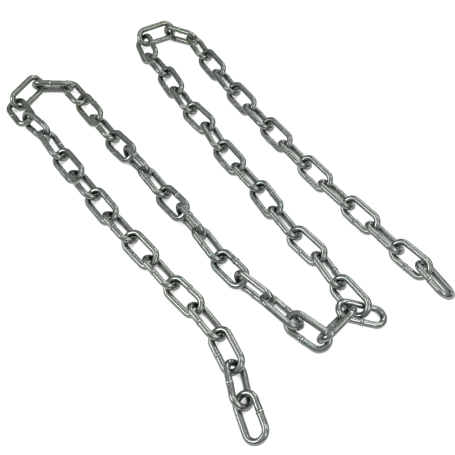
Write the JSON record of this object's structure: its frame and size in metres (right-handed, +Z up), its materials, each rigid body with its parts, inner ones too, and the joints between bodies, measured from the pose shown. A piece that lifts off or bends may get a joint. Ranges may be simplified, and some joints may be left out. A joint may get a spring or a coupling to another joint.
{
  "type": "length of welded long-link chain",
  "caption": "Length of zinc-plated welded steel long-link chain, laid out in a zigzag of parallel runs; joins, lifts, hangs or fences things.",
  "frame": {"origin": "middle of the laid chain's footprint, on the floor that it lies on", "axes": "+Z up from the floor; +Y away from the viewer of the picture, along which the laid chain is longest; +X to that viewer's right"},
  "size_m": [0.4316, 0.5076, 0.0243],
  "materials": {
    "zinc_plated_steel": "bright zinc plating over drawn steel wire, slightly uneven, with faint yellow-green tints"
  },
  "bodies": {
    "root": {"link_01": "zinc_plated_steel", "link_02": "zinc_plated_steel", "link_03": "zinc_plated_steel", "link_04": "zinc_plated_steel", "link_05": "zinc_plated_steel", "link_06": "zinc_plated_steel", "link_07": "zinc_plated_steel", "link_08": "zinc_plated_steel", "link_09": "zinc_plated_steel", "link_10": "zinc_plated_steel", "link_11": "zinc_plated_steel", "link_12": "zinc_plated_steel", "link_13": "zinc_plated_steel", "link_14": "zinc_plated_steel", "link_15": "zinc_plated_steel", "link_16": "zinc_plated_steel", "link_17": "zinc_plated_steel", "link_18": "zinc_plated_steel", "link_19": "zinc_plated_steel", "link_20": "zinc_plated_steel", "link_21": "zinc_plated_steel", "link_22": "zinc_plated_steel", "link_23": "zinc_plated_steel", "link_24": "zinc_plated_steel", "link_25": "zinc_plated_steel", "link_26": "zinc_plated_steel", "link_27": "zinc_plated_steel", "link_28": "zinc_plated_steel", "link_29": "zinc_plated_steel", "link_30": "zinc_plated_steel", "link_31": "zinc_plated_steel", "link_32": "zinc_plated_steel", "link_33": "zinc_plated_steel", "link_34": "zinc_plated_steel", "link_35": "zinc_plated_steel", "link_36": "zinc_plated_steel", "link_37": "zinc_plated_steel", "link_38": "zinc_plated_steel", "link_39": "zinc_plated_steel", "link_40": "zinc_plated_steel", "link_41": "zinc_plated_steel", "link_42": "zinc_plated_steel", "link_43": "zinc_plated_steel", "link_44": "zinc_plated_steel", "link_45": "zinc_plated_steel", "link_46": "zinc_plated_steel", "link_47": "zinc_plated_steel", "link_48": "zinc_plated_steel", "link_49": "zinc_plated_steel", "link_50": "zinc_plated_steel", "link_51": "zinc_plated_steel", "link_52": "zinc_plated_steel", "link_53": "zinc_plated_steel", "link_54": "zinc_plated_steel", "link_55": "zinc_plated_steel", "link_56": "zinc_plated_steel", "link_57": "zinc_plated_steel", "link_58": "zinc_plated_steel", "link_59": "zinc_plated_steel"}
  },
  "joints": []
}
